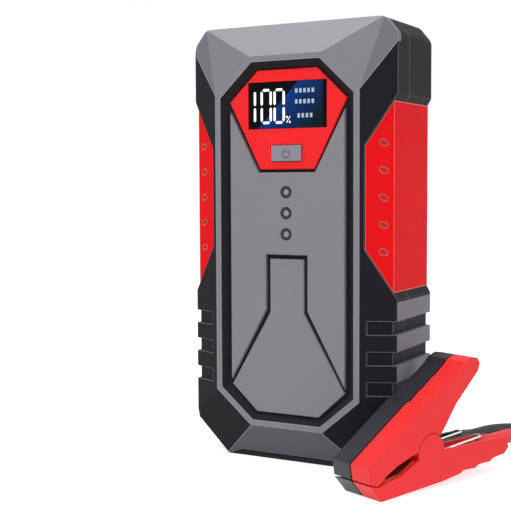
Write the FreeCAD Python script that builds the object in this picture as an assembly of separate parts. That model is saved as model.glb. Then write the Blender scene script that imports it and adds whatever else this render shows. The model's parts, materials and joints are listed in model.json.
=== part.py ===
import FreeCAD, Part
import math
import os
from FreeCAD import Vector as V

# Jump starter pack with its lead set. Millimetres. Origin: centre of the base, +X right, +Y back, +Z up.

# --- unit: overall outline ---
HEIGHT = 200.0          # whole case, base to top
WIDTH = 102.0           # across the side faces
FRONT_Y = -24.0         # flat of the front frame
BACK_Y = 24.0           # back face
PARTING_Y = -3.5        # where the two shells meet
BODY_BOTTOM = 0.8       # plastic case above the rubber base
TOP_HALF = 44.8         # half width of the top face
TOP_CORNER_Z = HEIGHT - 7.5
TOP_CORNER_R = 5.0
LOW_CORNER_Z = 16.4     # where the 45 degree lower corner starts
ARCH_HALF = 33.5        # hollow under the case
ARCH_TOP_HALF = 27.3
ARCH_Z = 3.4

# --- front frame: octagon on the front flat ---
FRAME_HALF = 36.0
FRAME_TOP_Z = HEIGHT - 14.5
FRAME_TOP_HALF = 18.1
FRAME_SHOULDER_Z = HEIGHT - 31.5
FRAME_FOOT_Z = 32.6
FRAME_LOW_Z = 17.2
FRAME_LOW_HALF = 18.0
SIDE_BEVEL_Y = -17.0    # side bevel meets the side face here
TOP_BEVEL_Y = -17.0
LOW_BEVEL_Y = -15.2
CREASE_Z = HEIGHT - 11.0  # bevel crease on the side edge
FRAME_RING = 2.6        # width of the flat ring
COVER_T = 3.0           # front cover skin

# --- side panels and grips ---
SIDE_T = 1.8            # red side panel
SIDE_INSET = 1.6        # its face below the case
SIDE_FIT = 0.15
SIDE_TOP_Z = 166.6
SIDE_LOW_Z = 77.7
SIDE_FLAT_X = 38.0      # inner edge, on the bevel
SIDE_FLAT_TOP = 144.5
SIDE_FLAT_LOW = 99.4
STUD_X = 45.3
STUD_TOP_Z = 145.6
STUD_PITCH = 11.8
STUD_COUNT = 5
STUD_W = 3.8
STUD_H = 2.4
STUD_DEPTH = 1.9
STUD_FIT = 0.08
STUD_SUNK = 0.2
GRIP_T = 1.6            # grip pads on the lower side faces
GRIP_TOP_Z = 76.5
GRIP_LOW_Z = 18.5
GRIP_FRONT_Y = -16.6
GROOVE_H = 6.0
GROOVE_PITCH = 13.4
GROOVE_LOW_Z = 35.5
GROOVE_COUNT = 3
GROOVE_X = 38.9
GROOVE_D = 2.0

# --- inside the case ---
CAV_HALF = 44.0
CAV_FRONT_Y = -14.5
CAV_BACK_Y = BACK_Y - 2.4
CAV_TOP_Z = HEIGHT - 2.4
CAV_LOW_Z = 6.2
SCREW_X = 40.0
SCREW_Z = (26.0, 100.0, 180.0)
SCREW_R = 1.45
SCREW_FIT = 0.05
HEAD_R = 2.8
HEAD_T = 2.0
BOSS_R = 3.2
CELL_W = 72.0
CELL_H = 104.0
CELL_T = 6.4
CELL_COUNT = 4
CELL_GAP = 0.4
TRAY_T = 1.6
TRAY_FIT = 0.4          # cell tray to the sloping walls that it stands on
BOARD_T = 1.6

# --- front fittings ---
TRAY_FLOOR_Y = -20.8
DISH_RUN = 3.6          # width of the dished moat round the panel
PLATE_FIT = 0.2
EDGE = 0.35             # small chamfer on the plates and the frame
TRAY_BACK_Y = -17.5
PANEL_Y = FRONT_Y + 1.0
INLAY_Y = FRONT_Y + 1.5
BEZEL_Y = FRONT_Y + 2.0
PANEL_HALF = 28.8
BEZEL_HALF = 29.4
BEZEL_WAIST_Z = HEIGHT - 34.7
BEZEL_TOP_Z = HEIGHT - 20.8
BEZEL_TOP_HALF = 14.9
BEZEL_LOW_Z = 134.6
BEZEL_LOW_HALF = 13.7
NECK_HALF = 10.25
NECK_TOP_Z = 96.0
NECK_LOW_Z = 70.4
PANEL_LOW_CORNER_Z = 36.0
GROOVE_LINE = 1.7
WINDOW_HALF = 19.75
WINDOW_Z = (152.8, 173.9)
BUTTON_W = 14.9
BUTTON_H = 7.1
BUTTON_Z = 141.75
BUTTON_FIT = 0.3
BUTTON_TRAVEL = 0.8
LAMP_DOTS_Z = (124.4, 115.0, 105.5)
DOT_R = 2.8
DOT_LENS_R = 1.4

# --- top: port bay and work light ---
BAY_X = (-20.0, 37.4)
BAY_Y = (-7.5, 14.5)
FLAP_T = 1.8
FLAP_FIT = 0.3
FLAP_HINGE_GAP = 0.7     # rolled rear edge of the flap to the bay wall
FLAP_TAB = (12.0, 3.0, 0.9)
FLAP_TOP_Z = HEIGHT - 0.1
PORT_FRAME_T = 3.6
EC5_X = 26.0
EC5_W = 20.5
EC5_D = 11.2
EC5_PITCH = 9.6
EC5_DEPTH = 19.0
EC5_RECESS = 7.9
CONTACT_R = 3.1
CONTACT_BORE_R = 2.55
USB_X = 8.0
USB_Y = (-1.0, 8.0)
USB_W = 13.1
USB_H = 5.7
USB_DEPTH = 13.0
USBC_X = -8.5
USBC_W = 9.0
USBC_H = 3.3
LIGHT_X = -31.0
LIGHT_Y = 6.0
LIGHT_R = 6.5
LIGHT_FIT = 0.1

# --- clamps: side view in (u, v) about the pivot, nose at -u; w is the thickness ---
CLAMP_W = 10.4
CHEEK_T = 1.4
CHEEK_GAP = 0.15
CLAMP_HEADING = 24.0    # degrees from +Y towards +X
CLAMP_TILT = 4.0        # handle end raised
CLAMP_SLIDE = 4.0
CLAMP_GAP = 0.8         # between the pair
CASE_GAP = 1.5          # black clamp to the case corner
PIVOT_V = 14.0          # pivot above the jaw's sole
NOSE_SOLE_U = -30.0
DISC_R = 7.5
TONGUE_R = 7.1
DISC_FIT = 0.4
PIN_R = 1.5
PIN_FIT = 0.05
PIN_COVER = 0.5         # skin of the outer cheek over the pin
WALL = 1.5
RIDGE_STEP = (7.7, 4.3)
RIDGE_RISE = (4.7, 3.0)
RIDGE_FIRST = (-0.6, 20.4)
SPRING_WIRE_R = 0.6
SPRING_R = 3.3
SPRING_PITCH = 1.35
SPRING_TURNS = 3
HOOP_U = 34.0           # wire hoop over the lead, near the handle's end
HOOP_V = -5.2
HOOP_R = 4.0
HOOP_SPAN = 96.0
JAW_T = 1.0
JAW_W = 6.4
JAW_START_U = -28.4     # front end of the toothed plates
TOOTH = 0.9

# --- leads ---
CABLE_R = 3.1
PLUG_W = 21.0
PLUG_L = 24.0
PLUG_H = 11.6
PLUG_PIN_R = 2.5
PLUG_PIN_L = 12.0
PLUG_HEADING = 204.0
BOOT_L = 9.0
RED_ROUTE = [(74.3, -8.7, 11.9), (81.7, 7.9, 13.5), (92.4, 32.1, 14.3), (118.0, 47.4, 9.6),
             (146.5, 44.8, 4.6), (168.0, 26.0, 3.8), (175.0, -3.0, 5.8), (163.5, -29.0, 5.8)]
BLACK_ROUTE = [(64.0, -4.3, 11.9), (71.7, 12.9, 13.5), (83.0, 38.5, 14.3), (116.9, 56.2, 9.6),
               (150.8, 53.2, 4.6), (176.5, 30.9, 3.8), (185.2, -4.0, 5.8), (172.3, -32.9, 5.8)]

parts = {}


def box(x0, x1, y0, y1, z0, z1):
    return Part.makeBox(x1 - x0, y1 - y0, z1 - z0, V(x0, y0, z0))


def prism(points, y0, y1):
    """A polygon in X and Z, drawn along Y."""
    ring = [V(x, y0, z) for x, z in points]
    return Part.Face(Part.makePolygon(ring + ring[:1])).extrude(V(0, y1 - y0, 0))


def both(points):
    """A right-hand outline from bottom to top, closed with its mirror image."""
    return points + [(-x, z) for x, z in reversed(points)]


def rod(x, y, z, radius, length, along=V(0, 1, 0)):
    return Part.makeCylinder(radius, length, V(x, y, z), along)


def mirrored(shape):
    return shape.mirror(V(0, 0, 0), V(1, 0, 0))


def moved(shape, dx=0.0, dy=0.0, dz=0.0):
    copy = shape.copy()
    copy.translate(V(dx, dy, dz))
    return copy


def outside(a, b, c):
    """The half of space in front of the plane through three points, as a large block."""
    normal = (b - a).cross(c - a)
    normal.normalize()
    if normal.y > 0:
        normal = -normal
    block = Part.makeBox(600, 600, 300, V(-300, -300, 0))
    block.Placement = FreeCAD.Placement(a, FreeCAD.Rotation(V(0, 0, 1), normal))
    return block


def group(shapes):
    return Part.makeCompound(list(shapes))


def inset(points, distance):
    """A convex outline moved inwards by a distance."""
    out = []
    count = len(points)
    for i in range(count):
        (ax, az), (bx, bz), (cx, cz) = points[i - 1], points[i], points[(i + 1) % count]
        n1 = math.hypot(bx - ax, bz - az)
        n2 = math.hypot(cx - bx, cz - bz)
        ux, uz, vx, vz = (bx - ax) / n1, (bz - az) / n1, (cx - bx) / n2, (cz - bz) / n2
        share = distance / (1 + ux * vx + uz * vz)
        out.append((bx - (uz + vz) * share, bz + (ux + vx) * share))
    return out


# ---------------------------------------------------------------- case

CASE_HALF = WIDTH / 2
FRAME = both([(FRAME_LOW_HALF, FRAME_LOW_Z), (FRAME_HALF, FRAME_FOOT_Z),
              (FRAME_HALF, FRAME_SHOULDER_Z), (FRAME_TOP_HALF, FRAME_TOP_Z)])
LOW_HALF = CASE_HALF - LOW_CORNER_Z + BODY_BOTTOM


def envelope():
    """The whole case as one faceted block, hollow under its base."""
    body = prism(both([(LOW_HALF, BODY_BOTTOM), (CASE_HALF, LOW_CORNER_Z), (CASE_HALF, TOP_CORNER_Z),
                       (TOP_HALF, HEIGHT)]), FRONT_Y, BACK_Y)
    corners = [e for e in body.Edges if abs(e.CenterOfMass.z - TOP_CORNER_Z) < 0.1
               or abs(e.CenterOfMass.z - HEIGHT) < 0.1 and abs(abs(e.CenterOfMass.x) - TOP_HALF) < 0.1]
    body = body.makeFillet(TOP_CORNER_R, corners)
    shoulder = V(FRAME_HALF, FRONT_Y, FRAME_SHOULDER_Z)
    foot = V(FRAME_HALF, FRONT_Y, FRAME_FOOT_Z)
    crown = V(FRAME_TOP_HALF, FRONT_Y, FRAME_TOP_Z)
    sill = V(FRAME_LOW_HALF, FRONT_Y, FRAME_LOW_Z)
    crease = V(CASE_HALF, SIDE_BEVEL_Y, CREASE_Z)
    top_end = V(TOP_HALF, TOP_BEVEL_Y, HEIGHT)
    low_end = V(LOW_HALF, LOW_BEVEL_Y, BODY_BOTTOM)
    cuts = [outside(shoulder, foot, crease), outside(shoulder, crown, top_end),
            outside(shoulder, crease, top_end), outside(foot, sill, low_end)]
    for cut in cuts:
        body = body.cut(cut).cut(mirrored(cut))
    body = body.cut(outside(crown, V(-FRAME_TOP_HALF, FRONT_Y, FRAME_TOP_Z), top_end))
    body = body.cut(outside(sill, V(-FRAME_LOW_HALF, FRONT_Y, FRAME_LOW_Z), low_end))
    arch = both([(ARCH_HALF, BODY_BOTTOM - 1), (ARCH_HALF, BODY_BOTTOM), (ARCH_TOP_HALF, ARCH_Z)])
    return body.cut(prism(arch, FRONT_Y, BACK_Y))


def cover_region():
    """Everything the grey front cover shows: the frame, its upper facets and the sill below it."""
    reach = CASE_HALF + 1
    slope = (CREASE_Z - FRAME_SHOULDER_Z) / (CASE_HALF - FRAME_HALF)
    reach_z = CREASE_Z + slope
    foot_slope = (FRAME_LOW_Z - BODY_BOTTOM) / (LOW_HALF - FRAME_LOW_HALF)
    outline = both([(LOW_HALF + 2 / foot_slope, BODY_BOTTOM - 2), (FRAME_LOW_HALF, FRAME_LOW_Z),
                    (FRAME_HALF, FRAME_FOOT_Z), (FRAME_HALF, FRAME_SHOULDER_Z),
                    (reach, reach_z), (reach, HEIGHT + 1)])
    return prism(outline, FRONT_Y - 1, BACK_Y)


def side_region(grow=0.0):
    """The opening of the right side panel, seen from the front."""
    reach = CASE_HALF + 2
    top_slope = (SIDE_TOP_Z - SIDE_FLAT_TOP) / (CASE_HALF - SIDE_FLAT_X)
    low_slope = (SIDE_FLAT_LOW - SIDE_LOW_Z) / (CASE_HALF - SIDE_FLAT_X)
    outline = [(SIDE_FLAT_X, SIDE_FLAT_LOW), (reach, SIDE_LOW_Z - 2 * low_slope),
               (reach, SIDE_TOP_Z + 2 * top_slope), (SIDE_FLAT_X, SIDE_FLAT_TOP)]
    return prism(inset(outline, -grow) if grow else outline, FRONT_Y - 1, BACK_Y + 1)


CAV_CORNER_Z = LOW_CORNER_Z + 4
CAV_LOW_HALF = CAV_HALF - (CAV_CORNER_Z - CAV_LOW_Z)


def cavity():
    """The hollow of the case."""
    return prism(both([(CAV_LOW_HALF, CAV_LOW_Z), (CAV_HALF, CAV_CORNER_Z), (CAV_HALF, TOP_CORNER_Z - 6),
                       (TOP_HALF - 6, CAV_TOP_Z)]), CAV_FRONT_Y, CAV_BACK_Y)


def groove_cuts(body):
    """Three grip grooves on the right, across the bevel and round onto the side face."""
    skin = body.cut(moved(body, -GROOVE_D))
    slabs = [box(GROOVE_X, CASE_HALF + 1, FRONT_Y, BACK_Y + 1, GROOVE_LOW_Z + i * GROOVE_PITCH,
                 GROOVE_LOW_Z + i * GROOVE_PITCH + GROOVE_H) for i in range(GROOVE_COUNT)]
    return skin.common(group(slabs))


def grip_region():
    return box(CASE_HALF - GRIP_T, CASE_HALF + 1, GRIP_FRONT_Y, BACK_Y + 1, GRIP_LOW_Z, GRIP_TOP_Z)


def bay_opening():
    return box(BAY_X[0], BAY_X[1], BAY_Y[0], BAY_Y[1], CAV_TOP_Z - 1, HEIGHT + 1)


def screw_places():
    return [(side * SCREW_X, z) for side in (-1, 1) for z in SCREW_Z]


def chamfer_cut(outline, y):
    """The ring that a small chamfer takes off the front edge of an opening."""
    rings = []
    for step in (1, -1):
        edge = inset(outline, -EDGE * step)
        rings.append(Part.makePolygon([V(x, y - EDGE * step, z) for x, z in edge + edge[:1]]))
    return Part.makeLoft(rings, True, True)


def front_edges(solid, y):
    return [e for e in solid.Edges if all(abs(v.Point.y - y) < 0.01 for v in e.Vertexes)]


def shells(body):
    """Front and rear shell, cover, side panels, grips and base."""
    cover_skin = body.common(cover_region()).cut(moved(body, 0, COVER_T))
    opening = prism(inset(FRAME, FRAME_RING), FRONT_Y - 1, CAV_FRONT_Y + 1)
    parts["front_cover"] = cover_skin.cut(opening).cut(chamfer_cut(inset(FRAME, FRAME_RING), FRONT_Y))

    grooves = groove_cuts(body)
    pocket = body.common(side_region()).cut(moved(body, -(SIDE_INSET + SIDE_T)))
    panel = moved(body, -SIDE_INSET).common(side_region(-SIDE_FIT)).cut(moved(body, -(SIDE_INSET + SIDE_T)))
    panel = panel.common(box(0, CASE_HALF + 1, FRONT_Y, BACK_Y, 0, HEIGHT))
    grip = body.common(grip_region()).cut(grooves)
    case = body.cut(cover_skin).cut(opening).cut(cavity()).cut(bay_opening())
    case = case.cut(rod(LIGHT_X, LIGHT_Y, CAV_TOP_Z - 1, LIGHT_R + LIGHT_FIT, 4, V(0, 0, 1)))
    for cut in (pocket, grooves, grip_region()):
        case = case.cut(cut).cut(mirrored(cut))
    studs = stud_shapes(body)
    panel = panel.cut(group(studs["holes"]))
    case = case.cut(group(studs["holes"])).cut(mirrored(group(studs["holes"])))
    parts["right_side_panel"] = panel
    parts["left_side_panel"] = mirrored(panel)
    parts["panel_studs"] = group(studs["pins"] + [mirrored(pin) for pin in studs["pins"]])
    parts["right_side_grip"] = grip
    parts["left_side_grip"] = mirrored(grip)

    front = case.common(box(-100, 100, FRONT_Y, PARTING_Y, 0, HEIGHT))
    rear = case.common(box(-100, 100, PARTING_Y, BACK_Y, 0, HEIGHT))
    screws = []
    for x, z in screw_places():
        front = front.fuse(rod(x, CAV_FRONT_Y - 1, z, BOSS_R, PARTING_Y - CAV_FRONT_Y + 1))
        rear = rear.fuse(rod(x, PARTING_Y, z, BOSS_R, CAV_BACK_Y + 1 - PARTING_Y))
    for x, z in screw_places():
        seat = BACK_Y - 3.2
        hole = rod(x, CAV_FRONT_Y, z, SCREW_R + SCREW_FIT, seat - CAV_FRONT_Y + 1)
        front = front.cut(hole)
        rear = rear.cut(hole).cut(rod(x, seat, z, HEAD_R + 0.3, 4))
        head = rod(x, seat, z, HEAD_R, HEAD_T)
        cross = box(x - 1.7, x + 1.7, seat + 0.9, seat + 3, z - 0.35, z + 0.35)
        cross = cross.fuse(box(x - 0.35, x + 0.35, seat + 0.9, seat + 3, z - 1.7, z + 1.7))
        shank = rod(x, CAV_FRONT_Y + 1, z, SCREW_R, seat - CAV_FRONT_Y - 1)
        screws.append(head.fuse(shank).cut(cross).removeSplitter())
    back_field = inset(FRAME, 6.0)
    rear = rear.cut(prism(back_field, BACK_Y - 0.8, BACK_Y + 1).cut(prism(inset(back_field, 1.6),
                                                                      BACK_Y - 1, BACK_Y + 1)))
    parts["front_shell"] = front.removeSplitter()
    parts["rear_shell"] = rear.removeSplitter()
    parts["case_screws"] = group(screws)

    skirt = 1.1
    run = 6.5
    base = both([(LOW_HALF + skirt - BODY_BOTTOM, 0), (LOW_HALF + skirt + run, run + BODY_BOTTOM),
                 (LOW_HALF + run, run + BODY_BOTTOM), (LOW_HALF, BODY_BOTTOM), (ARCH_HALF, BODY_BOTTOM),
                 (ARCH_TOP_HALF, ARCH_Z)])
    parts["rubber_base"] = prism(base, LOW_BEVEL_Y + 1.2, BACK_Y - 1.5)


def stud_shapes(body):
    """Oval studs through the right side panel, square to the bevel."""
    run = CASE_HALF - FRAME_HALF
    slope = (SIDE_BEVEL_Y - FRONT_Y) / run
    normal = V(slope, -1, 0)
    normal.normalize()
    y = FRONT_Y + slope * (STUD_X - FRAME_HALF + SIDE_INSET)
    turn = FreeCAD.Rotation(V(0, 0, 1), normal)

    def oval(extra, depth_in, depth_out, z):
        half_w = STUD_W / 2 + extra
        half_h = STUD_H / 2 + extra
        wire = Part.Wire(Part.Ellipse(V(0, 0, 0), half_w, half_h).toShape())
        solid = Part.Face(wire).extrude(V(0, 0, depth_in + depth_out))
        solid.translate(V(0, 0, -depth_in))
        solid.Placement = FreeCAD.Placement(V(STUD_X, y, z), turn).multiply(solid.Placement)
        return solid

    pins, holes = [], []
    for i in range(STUD_COUNT):
        z = STUD_TOP_Z - i * STUD_PITCH
        pins.append(oval(0, STUD_DEPTH, -STUD_SUNK, z).cut(oval(-0.8, STUD_SUNK + 0.5, 1, z)))
        holes.append(oval(STUD_FIT, STUD_DEPTH + STUD_FIT, 1, z))
    return {"pins": pins, "holes": holes}


# ---------------------------------------------------------------- front fittings

def front_fittings():
    """Dished tray, grey panel and inlay, red display bezel, window, button and indicators."""
    mouth = inset(FRAME, FRAME_RING + 0.1)
    floor = inset(FRAME, FRAME_RING + DISH_RUN)
    tray = prism(mouth, FRONT_Y + 0.5, TRAY_BACK_Y)
    rim = inset(FRAME, FRAME_RING + 0.5)
    lip = Part.makePolygon([V(x, FRONT_Y + 0.5, z) for x, z in rim + rim[:1]])
    sill = Part.makePolygon([V(x, TRAY_FLOOR_Y, z) for x, z in floor + floor[:1]])
    tray = tray.cut(Part.makeLoft([lip, sill], True, True))

    bezel_outline = both([(BEZEL_LOW_HALF, BEZEL_LOW_Z), (BEZEL_HALF, BEZEL_WAIST_Z),
                          (BEZEL_TOP_HALF, BEZEL_TOP_Z)])
    bezel = prism(bezel_outline, BEZEL_Y, TRAY_FLOOR_Y)
    bezel = bezel.makeChamfer(EDGE, front_edges(bezel, BEZEL_Y))
    fit_w = BUTTON_W / 2 + BUTTON_FIT
    fit_h = BUTTON_H / 2 + BUTTON_FIT
    bezel = bezel.cut(box(-fit_w, fit_w, FRONT_Y, 0, BUTTON_Z - fit_h, BUTTON_Z + fit_h))
    window_hole = box(-WINDOW_HALF, WINDOW_HALF, FRONT_Y, 0, WINDOW_Z[0], WINDOW_Z[1])
    parts["display_bezel"] = bezel.cut(window_hole)
    glass_edge = 0.08
    parts["display_window"] = box(-WINDOW_HALF + glass_edge, WINDOW_HALF - glass_edge, BEZEL_Y + EDGE,
                                  TRAY_FLOOR_Y, WINDOW_Z[0] + glass_edge, WINDOW_Z[1] - glass_edge)
    lcd = (-18.6, 18.6, WINDOW_Z[0] + 0.6, WINDOW_Z[1] - 0.6)
    tray = tray.cut(box(lcd[0], lcd[1], FRONT_Y, 0, lcd[2], lcd[3]))
    parts["lcd_module"] = box(lcd[0] + 0.1, lcd[1] - 0.1, TRAY_FLOOR_Y, TRAY_BACK_Y,
                              lcd[2] + 0.1, lcd[3] - 0.1)

    flange = 1.3
    well_w = fit_w + flange + 0.4
    well_h = fit_h + flange + 0.4
    tray = tray.cut(box(-well_w, well_w, FRONT_Y, 0, BUTTON_Z - well_h, BUTTON_Z + well_h))
    cap = box(-BUTTON_W / 2, BUTTON_W / 2, BEZEL_Y - 1.0, TRAY_FLOOR_Y + 0.5,
              BUTTON_Z - BUTTON_H / 2, BUTTON_Z + BUTTON_H / 2)
    cap = cap.makeFillet(0.5, [e for e in cap.Edges if abs(e.CenterOfMass.y - (BEZEL_Y - 1.0)) < 0.01])
    collar = box(-fit_w - flange, fit_w + flange, TRAY_FLOOR_Y + 0.05, TRAY_FLOOR_Y + 1.05,
                 BUTTON_Z - fit_h - flange, BUTTON_Z + fit_h + flange)
    stem_end = TRAY_FLOOR_Y + 1.25
    stem = rod(0, TRAY_FLOOR_Y + 0.5, BUTTON_Z, 1.8, stem_end - TRAY_FLOOR_Y - 0.5)
    parts["power_button"] = cap.fuse(collar).fuse(stem).removeSplitter()
    switch_front = stem_end + BUTTON_TRAVEL + 0.05
    plunger = rod(0, switch_front, BUTTON_Z, 1.6, 0.4)
    switch = box(-3, 3, switch_front + 0.4, TRAY_BACK_Y, BUTTON_Z - 3, BUTTON_Z + 3)
    parts["tact_switch"] = switch.fuse(plunger).removeSplitter()

    slope_run = (BEZEL_HALF - BEZEL_LOW_HALF) / (BEZEL_WAIST_Z - BEZEL_LOW_Z)
    shoulder_z = BEZEL_LOW_Z - 1.4 + (PANEL_HALF - BEZEL_LOW_HALF) / slope_run
    neck_side = NECK_HALF + 0.2
    panel = both([(neck_side, NECK_TOP_Z + 0.2), (neck_side, NECK_LOW_Z + 0.6),
                  (PANEL_HALF, PANEL_LOW_CORNER_Z + 1.6), (PANEL_HALF, shoulder_z - 2.0),
                  (BEZEL_LOW_HALF + 0.6, BEZEL_LOW_Z - 1.4)])
    plate = prism(panel, PANEL_Y, TRAY_FLOOR_Y)
    plate = plate.makeChamfer(EDGE, front_edges(plate, PANEL_Y))
    inner = NECK_HALF - GROOVE_LINE
    foot = inset(FRAME, FRAME_RING + DISH_RUN + PLATE_FIT)
    inlay = prism(both([foot[0], (PANEL_HALF - 0.3, PANEL_LOW_CORNER_Z - 0.6),
                        (inner, NECK_LOW_Z - 0.6), (inner, NECK_TOP_Z - GROOVE_LINE)]), INLAY_Y, TRAY_FLOOR_Y)
    parts["front_inlay"] = inlay.makeChamfer(EDGE, front_edges(inlay, INLAY_Y))
    rings, lenses, leds = [], [], []
    for z in LAMP_DOTS_Z:
        hole = rod(0, FRONT_Y, z, DOT_R, TRAY_FLOOR_Y - FRONT_Y)
        plate = plate.cut(hole)
        ring = rod(0, PANEL_Y - 0.1, z, DOT_R - 0.03, TRAY_FLOOR_Y - PANEL_Y + 0.1)
        rings.append(ring.cut(rod(0, FRONT_Y, z, DOT_LENS_R, 5)))
        lenses.append(rod(0, PANEL_Y + 0.15, z, DOT_LENS_R - 0.03, TRAY_FLOOR_Y - PANEL_Y + 0.65))
        tray = tray.cut(rod(0, FRONT_Y, z, 2.1, 10))
        leds.append(box(-0.9, 0.9, TRAY_BACK_Y - 1.0, TRAY_BACK_Y, z - 0.7, z + 0.7))
    parts["front_panel"] = plate
    parts["indicator_rings"] = group(rings)
    parts["indicator_lenses"] = group(lenses)
    parts["indicator_leds"] = group(leds)
    parts["panel_tray"] = tray
    parts["display_board"] = box(-23, 23, TRAY_BACK_Y, TRAY_BACK_Y + BOARD_T,
                                 LAMP_DOTS_Z[2] - 5, WINDOW_Z[1] + 2)


# ---------------------------------------------------------------- top: ports and work light

def ports():
    """Port frame under the top wall, its sockets and the rubber flap over them."""
    bay_mid = (BAY_Y[0] + BAY_Y[1]) / 2
    frame_top = CAV_TOP_Z
    frame_low = frame_top - PORT_FRAME_T
    frame = box(BAY_X[0] - 1.5, BAY_X[1] + 1.0, BAY_Y[0] - 1.5, BAY_Y[1] + 1.5, frame_low, frame_top)
    ec5 = box(EC5_X - EC5_W / 2, EC5_X + EC5_W / 2, bay_mid - EC5_D / 2, bay_mid + EC5_D / 2,
              frame_top - EC5_DEPTH, frame_top)
    frame = frame.cut(ec5)
    wall = 1.0
    recess = box(EC5_X - EC5_W / 2 + wall, EC5_X + EC5_W / 2 - wall, bay_mid - EC5_D / 2 + wall,
                 bay_mid + EC5_D / 2 - wall, frame_top - EC5_RECESS, frame_top + 1)
    floor_z = frame_top - EC5_RECESS
    contacts = []
    for x in (EC5_X - EC5_PITCH / 2, EC5_X + EC5_PITCH / 2):
        well = rod(x, bay_mid, floor_z - EC5_DEPTH, CONTACT_R, EC5_DEPTH, V(0, 0, 1))
        ec5 = ec5.cut(well)
        tube = rod(x, bay_mid, frame_top - EC5_DEPTH - 2, CONTACT_R - 0.02, floor_z - frame_top + EC5_DEPTH + 2,
                   V(0, 0, 1))
        contacts.append(tube.cut(rod(x, bay_mid, frame_top - EC5_DEPTH + 1, CONTACT_BORE_R, EC5_DEPTH,
                                     V(0, 0, 1))))
    parts["ec5_socket"] = ec5.cut(recess)
    parts["ec5_contacts"] = group(contacts)

    shells_a, tongues = [], []
    for y in USB_Y:
        outer = box(USB_X - USB_W / 2, USB_X + USB_W / 2, y - USB_H / 2, y + USB_H / 2,
                    frame_top - USB_DEPTH, frame_top)
        frame = frame.cut(outer)
        hollow = box(USB_X - USB_W / 2 + 0.4, USB_X + USB_W / 2 - 0.4, y - USB_H / 2 + 0.4,
                     y + USB_H / 2 - 0.4, frame_top - USB_DEPTH + 1, frame_top + 1)
        shells_a.append(outer.cut(hollow))
        tongues.append(box(USB_X - 5.6, USB_X + 5.6, y - 0.2, y + 1.5, frame_top - USB_DEPTH + 1,
                           frame_top - 1.2))
    parts["usb_shells"] = group(shells_a)
    parts["usb_tongues"] = group(tongues)
    usbc = box(USBC_X - USBC_W / 2, USBC_X + USBC_W / 2, bay_mid - USBC_H / 2, bay_mid + USBC_H / 2,
               frame_top - 8, frame_top)
    upright = [e for e in usbc.Edges if abs(e.CenterOfMass.z - frame_top + 4) < 0.1]
    usbc = usbc.makeFillet(USBC_H / 2 - 0.05, upright)
    frame = frame.cut(usbc)
    slot = box(USBC_X - USBC_W / 2 + 0.5, USBC_X + USBC_W / 2 - 0.5, bay_mid - USBC_H / 2 + 0.4,
               bay_mid + USBC_H / 2 - 0.4, frame_top - 7, frame_top + 1)
    blade = box(USBC_X - 3.3, USBC_X + 3.3, bay_mid - 0.35, bay_mid + 0.35, frame_top - 7, frame_top - 0.8)
    parts["usb_c_socket"] = usbc.cut(slot).fuse(blade).removeSplitter()
    parts["port_frame"] = frame

    flap_low = FLAP_TOP_Z - FLAP_T
    roll = FLAP_T / 2
    hinge_y = BAY_Y[1] - FLAP_HINGE_GAP - roll
    hinge_z = FLAP_TOP_Z - roll
    flap = box(BAY_X[0] + FLAP_FIT, BAY_X[1] - FLAP_FIT, BAY_Y[0] + FLAP_FIT, hinge_y, flap_low, FLAP_TOP_Z)
    upright = [e for e in flap.Edges if abs(e.CenterOfMass.z - FLAP_TOP_Z + FLAP_T / 2) < 0.1
               and e.CenterOfMass.y < bay_mid]
    flap = flap.makeFillet(2.0, upright)
    flap_length = BAY_X[1] - BAY_X[0] - 2 * FLAP_FIT
    rolled_edge = rod(BAY_X[0] + FLAP_FIT, hinge_y, hinge_z, roll, flap_length, V(1, 0, 0))
    flap_mid = (BAY_X[0] + BAY_X[1]) / 2
    front = BAY_Y[0] + FLAP_FIT
    tab = box(flap_mid - FLAP_TAB[0] / 2, flap_mid + FLAP_TAB[0] / 2, front, front + FLAP_TAB[1],
              flap_low, flap_low + FLAP_TAB[2])
    parts["port_flap"] = flap.cut(tab).fuse(rolled_edge).removeSplitter()
    print("flap hinge", flap_mid, hinge_y, hinge_z)


def work_light():
    """Lens, reflector and LED of the light beside the ports."""
    up = V(0, 0, 1)
    lens_low = HEIGHT - 1.6
    lens = rod(LIGHT_X, LIGHT_Y, lens_low, LIGHT_R, 1.5, up)
    flange = rod(LIGHT_X, LIGHT_Y, CAV_TOP_Z - 1.0, LIGHT_R + 1.0, 1.0, up)
    neck = rod(LIGHT_X, LIGHT_Y, CAV_TOP_Z - 0.5, LIGHT_R, lens_low - CAV_TOP_Z + 1.0, up)
    parts["light_lens"] = lens.fuse(neck).fuse(flange).removeSplitter()
    top = CAV_TOP_Z - 1.0
    depth = 7.0
    outer = Part.makeCone(3.4, LIGHT_R, depth, V(LIGHT_X, LIGHT_Y, top - depth), up)
    inner = Part.makeCone(2.2, LIGHT_R - 0.9, depth, V(LIGHT_X, LIGHT_Y, top - depth), up)
    parts["light_reflector"] = outer.cut(inner)
    parts["light_led"] = box(LIGHT_X - 1.5, LIGHT_X + 1.5, LIGHT_Y - 1.5, LIGHT_Y + 1.5,
                             top - depth, top - depth + 0.8)
    parts["light_board"] = box(LIGHT_X - 6, LIGHT_X + 6, LIGHT_Y - 6, LIGHT_Y + 6,
                               top - depth - 1.2, top - depth)


# ---------------------------------------------------------------- inside

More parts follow.
